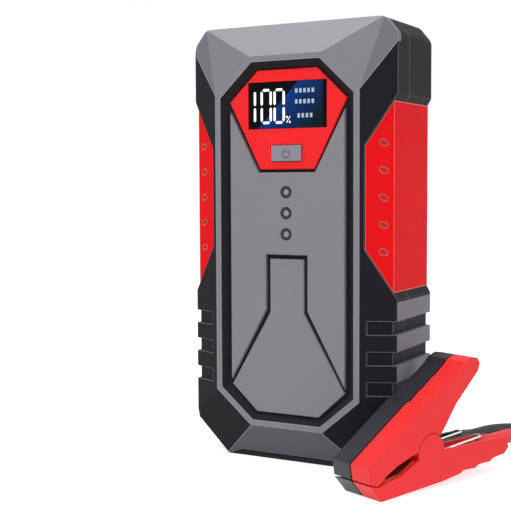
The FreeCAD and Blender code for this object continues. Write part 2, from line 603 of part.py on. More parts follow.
def electronics():
    """Cells in their tray, foam, main board with its parts, and the copper bars to the socket."""
    stack = CELL_COUNT * CELL_T + (CELL_COUNT - 1) * CELL_GAP
    tray_half = CELL_W / 2 + TRAY_T
    low = CAV_LOW_Z + max(0.6, tray_half + TRAY_FIT - CAV_LOW_HALF)
    cell_low = low + TRAY_T
    high = cell_low + CELL_H + TRAY_T
    tray_back = CAV_BACK_Y - 0.3
    cell_back = tray_back - TRAY_T
    cell_front = cell_back - stack
    half = CELL_W / 2
    cells = []
    for i in range(CELL_COUNT):
        y = cell_front + i * (CELL_T + CELL_GAP)
        cells.append(box(-half, half, y, y + CELL_T, cell_low, cell_low + CELL_H))
    parts["battery_cells"] = group(cells)
    holder = box(-tray_half, tray_half, cell_front - 2, tray_back, low, high)
    holder = holder.cut(box(-half - 0.1, half + 0.1, cell_front - 3, cell_back, cell_low - 0.1,
                            cell_low + CELL_H + 0.1))
    for x, z in screw_places():
        holder = holder.cut(rod(x, -100, z, BOSS_R + 0.3, 200))
    holder = holder.cut(box(-22, 22, cell_front - 3, cell_back, high - 2 * TRAY_T, high + 1))
    parts["battery_tray"] = holder
    parts["foam_pads"] = group([box(x - 9, x + 9, cell_front - 1.2, cell_front, z - 16, z + 16)
                                for x in (-22, 22) for z in (cell_low + 26, cell_low + 76)])
    tabs = []
    for i in range(CELL_COUNT):
        y = cell_front + i * (CELL_T + CELL_GAP) + CELL_T / 2
        top = cell_low + CELL_H
        tabs += [box(x - 4, x + 4, y - 0.1, y + 0.1, top, top + 8) for x in (-14, 14)]
    parts["cell_tabs"] = group(tabs)

    board_y = cell_front + 12
    board_z = (high + 8, HEIGHT - 24)
    parts["main_board"] = box(-34, 34, board_y, board_y + BOARD_T, board_z[0], board_z[1])
    front = board_y
    loads = [box(-30, -15, front - 8, front, 134, 152), box(-12, 3, front - 8, front, 134, 152)]
    loads += [rod(x, front - 11, 166, 4.0, 11) for x in (-26, -15)]
    loads += [box(x, x + 6.5, front - 2.3, front, 158, 164) for x in (-9, 0, 9)]
    loads += [box(6, 16, front - 5, front, 140, 150)]
    parts["board_components"] = group(loads)
    bay_mid = (BAY_Y[0] + BAY_Y[1]) / 2
    bar_top = CAV_TOP_Z - EC5_DEPTH - 2
    for name, side in (("positive_busbar", 1), ("negative_busbar", -1)):
        x = EC5_X + side * EC5_PITCH / 2
        foot = box(x - 3.5, x + 3.5, bay_mid - 3.5, board_y, bar_top - 1, bar_top)
        drop = box(x - 3.5, x + 3.5, board_y - 1, board_y, bar_top - 22, bar_top)
        parts[name] = foot.fuse(drop).removeSplitter()


# ---------------------------------------------------------------- clamps

def profile(points, w0, w1):
    """A side-view outline in (u, v), drawn across the clamp."""
    ring = [V(u, w0, v) for u, v in points]
    return Part.Face(Part.makePolygon(ring + ring[:1])).extrude(V(0, w1 - w0, 0))


def disc(radius, w0, w1):
    return Part.makeCylinder(radius, w1 - w0, V(0, w0, 0), V(0, 1, 0))


LOWER_TOP = [(-31.0, -7.9), (-26.6, -6.9), (-18.3, -6.2), (-9.2, -2.5)]
UPPER_SOLE = [(-35.6, -5.7), (-31.2, -7.3), (-26.3, -4.1), (-19.9, -1.4), (-11.3, 0.9)]
LOWER_NOSE = [(-35.7, -6.3), (-31.2, -7.9)]
HANDLE_UNDER = [(16.6, -13.2), (18.6, -12.3), (26.2, -12.9), (28.2, -11.9), (35.8, -12.2), (37.8, -11.1),
                (45.0, -10.9), (48.0, -8.6)]
HANDLE_TOP = [(47.2, -4.2), (37.3, -2.6), (23.1, -1.8), (7.5, -0.8)]


def upper_outline():
    """Upper lever: jaw sole, finger ridges up to the handle's round end, and its underside."""
    ridges = []
    for i in range(3):
        u = RIDGE_FIRST[0] + i * RIDGE_STEP[0]
        v = RIDGE_FIRST[1] + i * RIDGE_STEP[1]
        ridges += [(u, v), (u + RIDGE_RISE[0], v + RIDGE_RISE[1])]
    end = [(22.4, 34.4), (26.6, 35.6), (30.2, 34.9), (31.6, 32.4), (30.2, 29.2)]
    return (UPPER_SOLE[::-1] + [(-36.2, 1.0), (-3.6, 19.8)] + ridges + end
            + [(15.8, 17.4), (8.2, 8.6), (3.0, 3.4)])


def lower_outline():
    return ([LOWER_NOSE[0], (-30.0, -PIVOT_V), (6.0, -PIVOT_V)] + HANDLE_UNDER + HANDLE_TOP
            + [(0.0, 0.0)] + LOWER_TOP[::-1])


def jaw_line(points):
    """The part of a jaw's edge line that carries teeth: it starts behind the closed nose."""
    (u0, v0), (u1, v1) = points[:2]
    return [(JAW_START_U, v0 + (v1 - v0) * (JAW_START_U - u0) / (u1 - u0))] + points[1:]


def jaw_seat(points, side):
    """The recess in a lever that a jaw plate lies in."""
    bottom = [(u, v - side * JAW_T) for u, v in points]
    mouth = [(u, v + side * 2) for u, v in reversed(points)]
    return profile(bottom + mouth, -JAW_W / 2, JAW_W / 2)


def teeth(points, side):
    """A jaw plate: the jaw's edge line with a row of teeth on the mouth's side."""
    outer, inner = [], []
    for (u0, v0), (u1, v1) in zip(points, points[1:]):
        run = math.hypot(u1 - u0, v1 - v0)
        count = max(2, round(run / 1.6))
        for i in range(count):
            t = i / count
            mid = (i + 0.5) / count
            outer.append((u0 + (u1 - u0) * t, v0 + (v1 - v0) * t + side * 0.15))
            outer.append((u0 + (u1 - u0) * mid, v0 + (v1 - v0) * mid + side * TOOTH))
    outer.append((points[-1][0], points[-1][1] + side * 0.15))
    for u, v in reversed(points):
        inner.append((u, v - side * JAW_T))
    return outer + inner


def spring_shape():
    """Torsion spring round the pin: coil, a leg up into the handle, and a leg that loops over the lead."""
    half = SPRING_PITCH * SPRING_TURNS / 2
    coil = Part.makeHelix(SPRING_PITCH, SPRING_PITCH * SPRING_TURNS, SPRING_R)
    start = coil.Vertexes[0].Point
    section = Part.Wire(Part.Circle(start, V(0, 1, 0), SPRING_WIRE_R).toShape())
    wire = Part.Wire(coil.Edges).makePipeShell([section], True, True)
    wire.translate(V(0, 0, -half))
    wire.rotate(V(0, 0, 0), V(1, 0, 0), 90)
    side = half - 0.35
    upper_leg = leg(V(-2.6, side, 2.0), V(14.0, side, 25.2))
    lower_leg = leg(V(2.2, -side, -2.4), V(HOOP_U, -side, HOOP_V + 3.7))
    hoop = Part.makeTorus(HOOP_R, SPRING_WIRE_R, V(0, 0, 0), V(1, 0, 0), -180, 180, HOOP_SPAN)
    hoop.rotate(V(0, 0, 0), V(1, 0, 0), -HOOP_SPAN / 2)
    lift = hoop.CenterOfMass
    hoop.rotate(V(0, 0, 0), V(1, 0, 0), math.degrees(math.atan2(lift.y, lift.z)))
    hoop.translate(V(HOOP_U, 0, HOOP_V))
    return wire.fuse(upper_leg).fuse(lower_leg).fuse(hoop)


def leg(start, end):
    along = end - start
    return Part.makeCylinder(SPRING_WIRE_R, along.Length, start, along)


def clamp(colour):
    """One clamp: two levers, pin, spring and toothed jaw plates, about its pivot."""
    half = CLAMP_W / 2
    cheek_in = half - CHEEK_T
    tongue_out = cheek_in - CHEEK_GAP
    lower = profile(lower_outline(), -half, half)
    lower = lower.cut(disc(TONGUE_R + DISC_FIT, -cheek_in, cheek_in))
    lower = lower.fuse(disc(DISC_R, -half, -cheek_in)).fuse(disc(DISC_R, cheek_in, half))
    channel = profile([(5.5, 2.0), (5.5, -10.6), (15.0, -11.2), (40.0, -9.6), (60.0, -8.4), (60.0, 2.0)],
                      -half + WALL, half - WALL)
    lower = lower.cut(channel)
    upper = profile(upper_outline(), -half, half)
    ring = disc(DISC_R + DISC_FIT, -half - 1, half + 1).cut(disc(DISC_R + DISC_FIT + 1, -tongue_out, tongue_out))
    upper = upper.cut(ring)
    upper = upper.fuse(disc(TONGUE_R, -tongue_out, tongue_out))
    hollow = profile([(-5.0, -8.0), (-5.0, 7.5), (-2.0, 17.4), (16.0, 27.6), (26.0, 33.2), (29.0, 31.6),
                      (36.0, 28.0), (18.0, 8.0), (9.0, -8.0)], -half + WALL + 0.9, half - WALL - 0.9)
    upper = upper.cut(hollow)
    bore = disc(PIN_R + PIN_FIT, -half + PIN_COVER, half + 1)
    lower = lower.cut(bore)
    upper = upper.cut(bore)
    jaw_half = JAW_W / 2
    lower_line = jaw_line(LOWER_TOP)
    upper_line = jaw_line(UPPER_SOLE[1:])
    lower_plate = profile(teeth(lower_line, 1), -jaw_half, jaw_half)
    upper_plate = profile(teeth(upper_line, -1), -jaw_half, jaw_half)
    lower = lower.cut(jaw_seat(lower_line, 1))
    upper = upper.cut(jaw_seat(upper_line, -1))
    pin = disc(PIN_R, -half + PIN_COVER, half)
    return {colour + "_lower_lever": lower.removeSplitter(), colour + "_upper_lever": upper.removeSplitter(),
            colour + "_lower_jaw": lower_plate, colour + "_upper_jaw": upper_plate,
            colour + "_pivot_pin": pin, colour + "_spring": spring_shape()}


def clamp_place(offset):
    """Where a clamp's pivot lies: beside the case's front corner, leaning up at its handles."""
    heading = math.radians(CLAMP_HEADING)
    ahead = V(math.sin(heading), math.cos(heading), 0)
    across = V(math.cos(heading), -math.sin(heading), 0)
    tilt = FreeCAD.Rotation(V(0, 1, 0), -CLAMP_TILT)
    turn = FreeCAD.Rotation(V(0, 0, 1), 90 - CLAMP_HEADING)
    nose = V(NOSE_SOLE_U, 0, -PIVOT_V)
    lift = nose - tilt.multVec(nose)
    place = FreeCAD.Placement(across * offset + ahead * CLAMP_SLIDE + V(0, 0, PIVOT_V), turn)
    return place.multiply(FreeCAD.Placement(lift, tilt))


def clamps():
    heading = math.radians(CLAMP_HEADING)
    corner = CASE_HALF * math.cos(heading) - SIDE_BEVEL_Y * math.sin(heading)
    near = corner + CASE_GAP + CLAMP_W / 2
    for colour, offset in (("black", near), ("red", near + CLAMP_W + CLAMP_GAP)):
        place = clamp_place(offset)
        pivot = place.multVec(V(0, 0, 0))
        print(colour, "pivot", round(pivot.x, 3), round(pivot.y, 3), round(pivot.z, 3))
        print(colour, "handle end", place.multVec(V(48, 0, -4.2)), "crimp", place.multVec(V(16, 0, -6)))
        for name, shape in clamp(colour).items():
            shape.Placement = place.multiply(shape.Placement)
            parts[name] = shape


# ---------------------------------------------------------------- leads

def tube(route, radius):
    """A cable along a hand-laid route: straight runs joined by tangent arcs."""
    points = [V(*p) for p in route]
    edges = []
    here = points[0]
    length = 0.0
    for before, at, after in zip(points, points[1:], points[2:]):
        come = at - before
        go = after - at
        turn = come.getAngle(go)
        reach = 0.45 * min(come.Length, go.Length)
        bend = reach / math.tan(turn / 2)
        come.normalize()
        go.normalize()
        start = at - come * reach
        end = at + go * reach
        middle = come * -1 + go
        middle.normalize()
        top = at + middle * (bend / math.cos(turn / 2) - bend)
        edges.append(Part.makeLine(here, start))
        edges.append(Part.Arc(start, top, end).toShape())
        length += (start - here).Length + bend * turn
        here = end
        print("bend radius", round(bend, 1), "turn", round(math.degrees(turn), 1))
    edges.append(Part.makeLine(here, points[-1]))
    length += (points[-1] - here).Length
    path = Part.Wire(edges)
    section = Part.Wire(Part.Circle(points[0], points[1] - points[0], radius).toShape())
    solid = path.makePipeShell([section], True, False)
    expected = math.pi * radius ** 2 * length
    print("cable length", round(length, 1), "volume share", round(solid.Volume / expected, 4))
    return solid


def leads():
    """Two cables, and the plug that they share."""
    parts["red_cable"] = tube(RED_ROUTE, CABLE_R)
    parts["black_cable"] = tube(BLACK_ROUTE, CABLE_R)
    ends = [V(*RED_ROUTE[-1]), V(*BLACK_ROUTE[-1])]
    middle = (ends[0] + ends[1]) * 0.5
    heading = math.radians(PLUG_HEADING)
    ahead = V(math.sin(heading), math.cos(heading), 0)
    turn = FreeCAD.Rotation(V(1, 0, 0), ahead)
    place = FreeCAD.Placement(middle, turn)
    pitch = EC5_PITCH
    boots = [Part.makeCone(CABLE_R + 0.9, CABLE_R + 1.7, BOOT_L, V(0, s * pitch / 2, 0), V(1, 0, 0))
             for s in (-1, 1)]
    boot = boots[0].fuse(boots[1])
    body = box(BOOT_L, BOOT_L + PLUG_L, -PLUG_W / 2, PLUG_W / 2, -PLUG_H / 2, PLUG_H / 2)
    body = body.makeFillet(1.4, [e for e in body.Edges if abs(e.CenterOfMass.x - BOOT_L - PLUG_L / 2) < 0.1])
    pins = []
    for s in (-1, 1):
        y = s * pitch / 2
        body = body.cut(Part.makeCylinder(PLUG_PIN_R, 8, V(BOOT_L + PLUG_L - 8, y, 0), V(1, 0, 0)))
        pin = Part.makeCylinder(PLUG_PIN_R - 0.02, 8 + PLUG_PIN_L, V(BOOT_L + PLUG_L - 8, y, 0), V(1, 0, 0))
        tip = [e for e in pin.Edges if abs(e.CenterOfMass.x - BOOT_L - PLUG_L - PLUG_PIN_L) < 0.01]
        pins.append(pin.makeFillet(0.8, tip))
    for name, shape in (("plug_boot", boot), ("plug_body", body), ("plug_pins", group(pins))):
        shape.Placement = place.multiply(shape.Placement)
        parts[name] = shape


case_body = envelope()
shells(case_body)
front_fittings()
ports()
work_light()
electronics()
clamps()
leads()

os.makedirs("parts", exist_ok=True)
for name, shape in parts.items():
    shape.exportStep("parts/" + name + ".step")
    if not shape.isValid() or any(not s.isClosed() for s in shape.Shells):
        print("CHECK", name)
print(len(parts), "nodes")
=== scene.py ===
import json
import math

import bpy
from mathutils import Euler, Matrix, Vector


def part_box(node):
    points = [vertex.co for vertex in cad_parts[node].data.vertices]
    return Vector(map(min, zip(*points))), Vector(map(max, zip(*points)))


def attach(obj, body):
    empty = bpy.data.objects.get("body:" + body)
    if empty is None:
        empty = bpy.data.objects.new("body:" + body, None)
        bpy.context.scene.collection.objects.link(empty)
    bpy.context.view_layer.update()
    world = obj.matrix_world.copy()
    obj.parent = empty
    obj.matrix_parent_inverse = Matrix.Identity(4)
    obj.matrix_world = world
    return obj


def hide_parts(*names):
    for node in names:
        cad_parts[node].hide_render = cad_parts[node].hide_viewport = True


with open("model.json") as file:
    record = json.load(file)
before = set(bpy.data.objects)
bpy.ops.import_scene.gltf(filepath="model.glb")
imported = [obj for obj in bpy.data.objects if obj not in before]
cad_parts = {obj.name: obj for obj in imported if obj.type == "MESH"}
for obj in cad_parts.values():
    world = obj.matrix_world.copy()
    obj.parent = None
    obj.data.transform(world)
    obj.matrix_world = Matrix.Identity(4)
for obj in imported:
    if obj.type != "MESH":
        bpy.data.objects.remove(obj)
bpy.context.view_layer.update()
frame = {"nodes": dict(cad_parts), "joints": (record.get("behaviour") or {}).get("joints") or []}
nodes = frame["nodes"]
MM = 0.001

# ------------------------------------------------------------ studio
# A pale seamless floor, a white world and four soft area lamps. Nothing here belongs to the pack.
# The camera looks at the front from the right.
scene = bpy.context.scene
scene.view_settings.view_transform = "Standard"

EYE = Vector((224.3, -454.0, 128.6)) * MM
YAW, PITCH, ROLL = (math.radians(a) for a in (29.116, -3.677, -0.272))
LENS_MM, SENSOR_MM = 76.33, 36.0
NEAR_CLIP = 0.01
camera_data = bpy.data.cameras.new("camera")
camera_data.lens = LENS_MM
camera_data.sensor_width = SENSOR_MM
camera_data.clip_start = NEAR_CLIP
camera = bpy.data.objects.new("camera", camera_data)
scene.collection.objects.link(camera)
look = Euler((math.pi / 2 + PITCH, 0, YAW), "XYZ").to_matrix()
camera.rotation_euler = (look @ Euler((0, 0, ROLL), "XYZ").to_matrix()).to_euler()
camera.location = EYE
scene.camera = camera


def add_node(tree, kind, settings=None, links=None):
    """One shader node: settings by attribute or input name, links from other nodes' outputs."""
    made = tree.nodes.new(kind)
    for name, value in (settings or {}).items():
        if name in made.inputs:
            made.inputs[name].default_value = value
        else:
            setattr(made, name, value)
    for name, source in (links or {}).items():
        tree.links.new(source, made.inputs[name])
    return made


def linear(code, alpha=1.0):
    """An sRGB hex colour as linear RGBA."""
    out = []
    for i in (0, 2, 4):
        c = int(code[i:i + 2], 16) / 255
        out.append(c / 12.92 if c <= 0.04045 else ((c + 0.055) / 1.055) ** 2.4)
    return (*out, alpha)


def background_rays(tree):
    """1 for rays that show the background itself: camera, glossy and transmission rays."""
    path = add_node(tree, "ShaderNodeLightPath")
    first = add_node(tree, "ShaderNodeMath", {"operation": "MAXIMUM"})
    tree.links.new(path.outputs["Is Camera Ray"], first.inputs[0])
    tree.links.new(path.outputs["Is Glossy Ray"], first.inputs[1])
    last = add_node(tree, "ShaderNodeMath", {"operation": "MAXIMUM"})
    tree.links.new(first.outputs[0], last.inputs[0])
    tree.links.new(path.outputs["Is Transmission Ray"], last.inputs[1])
    return last.outputs[0]


WORLD_LIGHT = 0.37      # how strongly the world lights the pack
world = bpy.data.worlds.new("studio")
scene.world = world
world.use_nodes = True
tree = world.node_tree
tree.nodes.clear()
lit = add_node(tree, "ShaderNodeBackground", {"Color": (1, 1, 1, 1), "Strength": WORLD_LIGHT})
shown = add_node(tree, "ShaderNodeBackground", {"Color": (1, 1, 1, 1), "Strength": 1.0})
pick = add_node(tree, "ShaderNodeMixShader", links={"Fac": background_rays(tree)})
tree.links.new(lit.outputs[0], pick.inputs[1])
tree.links.new(shown.outputs[0], pick.inputs[2])
add_node(tree, "ShaderNodeOutputWorld", links={"Surface": pick.outputs[0]})

FLOOR_HALF = 3.0
floor_mesh = bpy.data.meshes.new("floor")
floor_mesh.from_pydata([(-FLOOR_HALF, -FLOOR_HALF, 0), (FLOOR_HALF, -FLOOR_HALF, 0),
                        (FLOOR_HALF, FLOOR_HALF, 0), (-FLOOR_HALF, FLOOR_HALF, 0)], [], [(0, 1, 2, 3)])
floor = bpy.data.objects.new("floor", floor_mesh)
scene.collection.objects.link(floor)
floor_material = bpy.data.materials.new("seamless_paper")
floor_material.use_nodes = True
shader = floor_material.node_tree.nodes["Principled BSDF"]
shader.inputs["Base Color"].default_value = linear("f2f2f3")
shader.inputs["Roughness"].default_value = 0.8
shader.inputs["Emission Color"].default_value = (1, 1, 1, 1)
FLOOR_LIFT = 0.68       # brings the far floor up to the white of the backdrop
lift = add_node(floor_material.node_tree, "ShaderNodeMath", {"operation": "MULTIPLY"})
lift.inputs[1].default_value = FLOOR_LIFT
floor_material.node_tree.links.new(background_rays(floor_material.node_tree), lift.inputs[0])
floor_material.node_tree.links.new(lift.outputs[0], shader.inputs["Emission Strength"])
floor_mesh.materials.append(floor_material)

# Each lamp's name, place, aim, width in metres and power in watts.
for name, place, aim, size, power in (
        ("key", (0.1, -0.85, 0.9), (0, 0, 0.10), 0.7, 4.4),
        ("fill", (-0.9, -0.5, 0.55), (0, 0, 0.10), 0.8, 1.1),
        ("side", (1.0, 0.05, 0.45), (0.03, 0, 0.08), 0.5, 2.0),
        ("top", (-0.1, -0.25, 1.3), (0, 0, 0.1), 0.6, 5.6)):
    lamp_data = bpy.data.lights.new(name, "AREA")
    lamp_data.size = size
    lamp_data.energy = power
    lamp = bpy.data.objects.new(name, lamp_data)
    scene.collection.objects.link(lamp)
    lamp.location = place
    lamp.rotation_euler = (Vector(aim) - Vector(place)).to_track_quat("-Z", "Y").to_euler()

# ------------------------------------------------------------ case
# Two black ABS half shells screwed from the back, with a grey ABS cover over the front frame.
# All are injection moulded with a fine spark-eroded grain, which takes the shine off and breaks highlights.
# It is drawn coarser than the real one, at 0.3 mm, so that it shows.
GRAIN_MM = 0.3
DRIFT_MM = 28.0         # size of the faint clouds in a moulding's colour
ROUGH_SWING = 0.06
GRAIN_BUMP = 0.35
EDGE_HIGHLIGHT_MM = 0.45      # how far in from an edge a pale highlight is painted
EDGE_HIGHLIGHT_SHARE = 0.75         # share of the painted highlight there


def moulded(name, code, dark, roughness, grain=GRAIN_MM, depth=0.02, cloud=0.25, gloss=0.4,
            facet_light=(), edge_highlight=""):
    """A moulded plastic: its colour drifts a little, and a fine grain breaks the highlight.

    Painted light and shade: each entry (axis, start, full, colour) gives a face that colour as it turns
    towards the axis.
    The paler colour given for the edges is a painted highlight laid along them.
    """
    material = bpy.data.materials.new(name)
    material.use_nodes = True
    tree = material.node_tree
    shader = tree.nodes["Principled BSDF"]
    shader.inputs["Specular IOR Level"].default_value = gloss
    where = add_node(tree, "ShaderNodeTexCoord")
    drift = add_node(tree, "ShaderNodeTexNoise", {"Scale": 1 / (DRIFT_MM * MM), "Detail": 3.0},
                     {"Vector": where.outputs["Object"]})
    tint = add_node(tree, "ShaderNodeMix", {"data_type": "RGBA"})
    for socket, value in ((tint.inputs[6], linear(code)), (tint.inputs[7], linear(dark))):
        socket.default_value = value
    ease = add_node(tree, "ShaderNodeMapRange", {"From Min": 0.35, "From Max": 0.75, "To Max": cloud},
                    {"Value": drift.outputs["Fac"]})
    tree.links.new(ease.outputs["Result"], tint.inputs[0])
    colour = tint.outputs[2]
    if facet_light:
        surface = add_node(tree, "ShaderNodeNewGeometry")
        facing = add_node(tree, "ShaderNodeSeparateXYZ",
                          links={"Vector": surface.outputs["True Normal"]})
    # Painted light and shade: a face's colour shifts with the way it points.
    for axis, start, full, code_there in facet_light:
        turn = facing.outputs[axis]
        if axis == "X":
            turn = add_node(tree, "ShaderNodeMath", {"operation": "ABSOLUTE"},
                            {"Value": turn}).outputs[0]
        share = add_node(tree, "ShaderNodeMapRange", {"From Min": start, "From Max": full},
                         {"Value": turn})
        facet_lit = add_node(tree, "ShaderNodeMix", {"data_type": "RGBA"})
        facet_lit.inputs[7].default_value = linear(code_there)
        tree.links.new(share.outputs["Result"], facet_lit.inputs[0])
        tree.links.new(colour, facet_lit.inputs[6])
        colour = facet_lit.outputs[2]
    # Painted highlight: a paler colour along every edge, convex and concave, found with the Bevel node.
    if edge_highlight:
        rounded = add_node(tree, "ShaderNodeBevel", {"samples": 8, "Radius": EDGE_HIGHLIGHT_MM * MM})
        flat = add_node(tree, "ShaderNodeNewGeometry")
        agree = add_node(tree, "ShaderNodeVectorMath", {"operation": "DOT_PRODUCT"})
        tree.links.new(rounded.outputs["Normal"], agree.inputs[0])
        tree.links.new(flat.outputs["True Normal"], agree.inputs[1])
        rim = add_node(tree, "ShaderNodeMapRange",
                       {"From Min": 0.995, "From Max": 0.94, "To Max": EDGE_HIGHLIGHT_SHARE},
                       {"Value": agree.outputs["Value"]})
        edge_lit = add_node(tree, "ShaderNodeMix", {"data_type": "RGBA"})
        edge_lit.inputs[7].default_value = linear(edge_highlight)
        tree.links.new(rim.outputs["Result"], edge_lit.inputs[0])
        tree.links.new(colour, edge_lit.inputs[6])
        colour = edge_lit.outputs[2]
    tree.links.new(colour, shader.inputs["Base Color"])
    fine = add_node(tree, "ShaderNodeTexNoise", {"Scale": 1 / (grain * MM), "Detail": 2.0},
                    {"Vector": where.outputs["Object"]})
    rough = add_node(tree, "ShaderNodeMapRange",
                     {"From Min": 0.3, "From Max": 0.7, "To Min": roughness - ROUGH_SWING,
                      "To Max": roughness + ROUGH_SWING}, {"Value": fine.outputs["Fac"]})
    tree.links.new(rough.outputs["Result"], shader.inputs["Roughness"])
    bump = add_node(tree, "ShaderNodeBump", {"Strength": GRAIN_BUMP, "Distance": depth * MM},
                    {"Height": fine.outputs["Fac"]})
    tree.links.new(bump.outputs["Normal"], shader.inputs["Normal"])
    return material


def dress(names, material):
    for name in names:
        for slot in nodes[name].material_slots:
            slot.material = material


# Painted light and shade on the cover's one grey, picked by the way a face points: a painted highlight on
# the sloping top, painted shade on the corner facets and the sill.
COVER_PAINTED_LIGHT = (("Z", 0.25, 0.5, "a2a3a7"), ("X", 0.12, 0.3, "626168"), ("Z", -0.2, -0.4, "56555c"))
# The shells' black gets painted highlights along its edges.
black_abs = moulded("black_abs_textured", "19181d", "141318", 0.6, gloss=0.1, edge_highlight="8b8a90")
# The cover's grey gets painted light and shade by facet, and painted highlights along its edges.
grey_abs = moulded("grey_abs_satin", "85848a", "7c7b82", 0.5, gloss=0.3, facet_light=COVER_PAINTED_LIGHT,
                   edge_highlight="b2b1b7")
dress(["front_shell", "rear_shell"], black_abs)
dress(["front_cover"], grey_abs)

# ------------------------------------------------------------ front panel
# A sunk tray of matt black ABS makes the dark moat round the panel. The panel and the inlay are grey ABS
# plates clipped into it, and its black shows between them.
dress(["panel_tray"], moulded("black_abs_matt", "151419", "111015", 0.7, gloss=0.2))
panel_grey = moulded("grey_abs_plate", "87868c", "7e7d84", 0.48, gloss=0.3)
dress(["front_panel", "front_inlay"], panel_grey)

# ------------------------------------------------------------ side grips
# Ribbed pads on the lower sides, moulded of a softer, slightly darker plastic and pressed into the
# shells. The soft plastic is duller than the cover.
dress(["left_side_grip", "right_side_grip"],
      moulded("grey_tpe_grip", "7e7d84", "75747b", 0.62, gloss=0.25))

# ------------------------------------------------------------ red side panels and bezel
# Satin red ABS: a panel in each side of the case, held by a row of five pressed studs, and the bezel
# round the display.
# The red panels get painted highlights along their edges.
red_abs = moulded("red_abs_satin", "f0171d", "e01218", 0.5, depth=0.008, cloud=0.4, gloss=0.04,
                   edge_highlight="f7a09c")
dress(["left_side_panel", "right_side_panel"], red_abs)
dress(["display_bezel"], moulded("red_abs_bezel", "ff2426", "f21d20", 0.45, depth=0.008, gloss=0.2))
dress(["panel_studs"], moulded("red_abs_studs", "c8181d", "b01419", 0.3, depth=0.008))

# ------------------------------------------------------------ base, flap and ports
# Base, port flap and plug boot are black rubber, matt with a dusty bloom. Port frame, sockets, plug body
# and battery tray are moulded nylon, a little smoother.
rubber = moulded("black_rubber", "1c1c1f", "28282b", 0.8, cloud=0.5)
dress(["rubber_base", "port_flap", "plug_boot"], rubber)
dress(["port_frame", "ec5_socket", "plug_body", "battery_tray"],
      moulded("black_nylon", "232327", "1b1b1f", 0.5))

# ------------------------------------------------------------ metal parts and the inside
# Screws, port shells and pins are plated steel, jaws and busbars copper, plug contacts gold plated.
# Inside are green boards, black chips, foil pouch cells and foam pads, hidden when the case is closed.
DRAWN_MM = 0.6          # spacing of the faint marks that forming leaves on the metal


def metal(name, code, roughness):
    """A plated metal: bright, with faint forming marks that vary its shine."""
    material = bpy.data.materials.new(name)
    material.use_nodes = True
    tree = material.node_tree
    shader = tree.nodes["Principled BSDF"]
    shader.inputs["Base Color"].default_value = linear(code)
    shader.inputs["Metallic"].default_value = 1.0
    where = add_node(tree, "ShaderNodeTexCoord")
    marks = add_node(tree, "ShaderNodeTexNoise", {"Scale": 1 / (DRAWN_MM * MM), "Detail": 4.0},
                     {"Vector": where.outputs["Object"]})
    rough = add_node(tree, "ShaderNodeMapRange",
                     {"From Min": 0.3, "From Max": 0.7, "To Min": roughness - 0.08,
                      "To Max": roughness + 0.1}, {"Value": marks.outputs["Fac"]})
    tree.links.new(rough.outputs["Result"], shader.inputs["Roughness"])
    return material


steel = metal("zinc_plated_steel", "c9c9cd", 0.3)
copper = metal("copper_plate", "d9955f", 0.32)
gold = metal("gold_plate", "e8c070", 0.22)
spring_wire = metal("nickel_spring_wire", "dcdad2", 0.35)
dress(["case_screws", "usb_shells", "usb_c_socket", "light_reflector", "cell_tabs",
       "red_pivot_pin", "black_pivot_pin"], steel)
dress(["red_lower_jaw", "red_upper_jaw", "black_lower_jaw", "black_upper_jaw",
       "positive_busbar", "negative_busbar"], copper)
dress(["ec5_contacts", "plug_pins"], gold)
dress(["display_board", "light_board", "main_board"], moulded("solder_mask", "1f5a3a", "184a30", 0.4))
dress(["lcd_module", "tact_switch", "indicator_leds", "usb_tongues", "board_components", "light_led"],
      moulded("chip_epoxy", "26262a", "1e1e22", 0.45))
dress(["battery_cells"], moulded("pouch_film", "8d96a6", "7d8696", 0.25))
dress(["foam_pads"], moulded("closed_cell_foam", "2a2a2c", "1f1f21", 0.95, grain=1.2, depth=0.2))

# ------------------------------------------------------------ button and indicators
# The power key is grey ABS and slides in the bezel over a tact switch; its mark is pad printed. The three
# indicator lights below it have grey caps in dark rings.
dress(["power_button"], moulded("grey_abs_key", "908c96", "87838d", 0.42))
dress(["indicator_rings"], moulded("black_abs_ring", "1b1a20", "16151a", 0.4))
dress(["indicator_lenses"], moulded("grey_lens", "98979d", "8e8d93", 0.3))

# ------------------------------------------------------------ work light
# A clear polycarbonate lens on the top face, over a plated reflector cup with one LED. It is smooth and
# shows the cup through it.
lens = bpy.data.materials.new("clear_polycarbonate")
lens.use_nodes = True
shader = lens.node_tree.nodes["Principled BSDF"]
shader.inputs["Base Color"].default_value = linear("f2f4f6")
shader.inputs["Roughness"].default_value = 0.06
shader.inputs["Transmission Weight"].default_value = 0.9
shader.inputs["IOR"].default_value = 1.58
dress(["light_lens"], lens)

# ------------------------------------------------------------ display
# A glossy acrylic window seated in the bezel, black with a dark blue field. The lit seven-segment figures
# and the level marks are thin shapes just proud of its face.
glass = bpy.data.materials.new("printed_acrylic")
glass.use_nodes = True
tree = glass.node_tree
shader = tree.nodes["Principled BSDF"]
shader.inputs["Roughness"].default_value = 0.12
shader.inputs["Specular IOR Level"].default_value = 0.05
where = add_node(tree, "ShaderNodeTexCoord")
split = add_node(tree, "ShaderNodeSeparateXYZ", links={"Vector": where.outputs["Object"]})
EDGE_LOW = (-14.4, 153.5)   # lower end of the blue field's slanting edge, X and Z
EDGE_SLOPE = 0.983
BORDER_X = 17.5             # plain black strip at the right
EDGE_BLUR = 0.3
FADE = 26.0                 # the blue darkens over this distance
slant = add_node(tree, "ShaderNodeMath", {"operation": "MULTIPLY_ADD"})
tree.links.new(split.outputs["Z"], slant.inputs[0])
slant.inputs[1].default_value = EDGE_SLOPE
slant.inputs[2].default_value = (EDGE_LOW[0] - EDGE_SLOPE * EDGE_LOW[1]) * MM
across = add_node(tree, "ShaderNodeMath", {"operation": "SUBTRACT"})
tree.links.new(split.outputs["X"], across.inputs[0])
tree.links.new(slant.outputs[0], across.inputs[1])
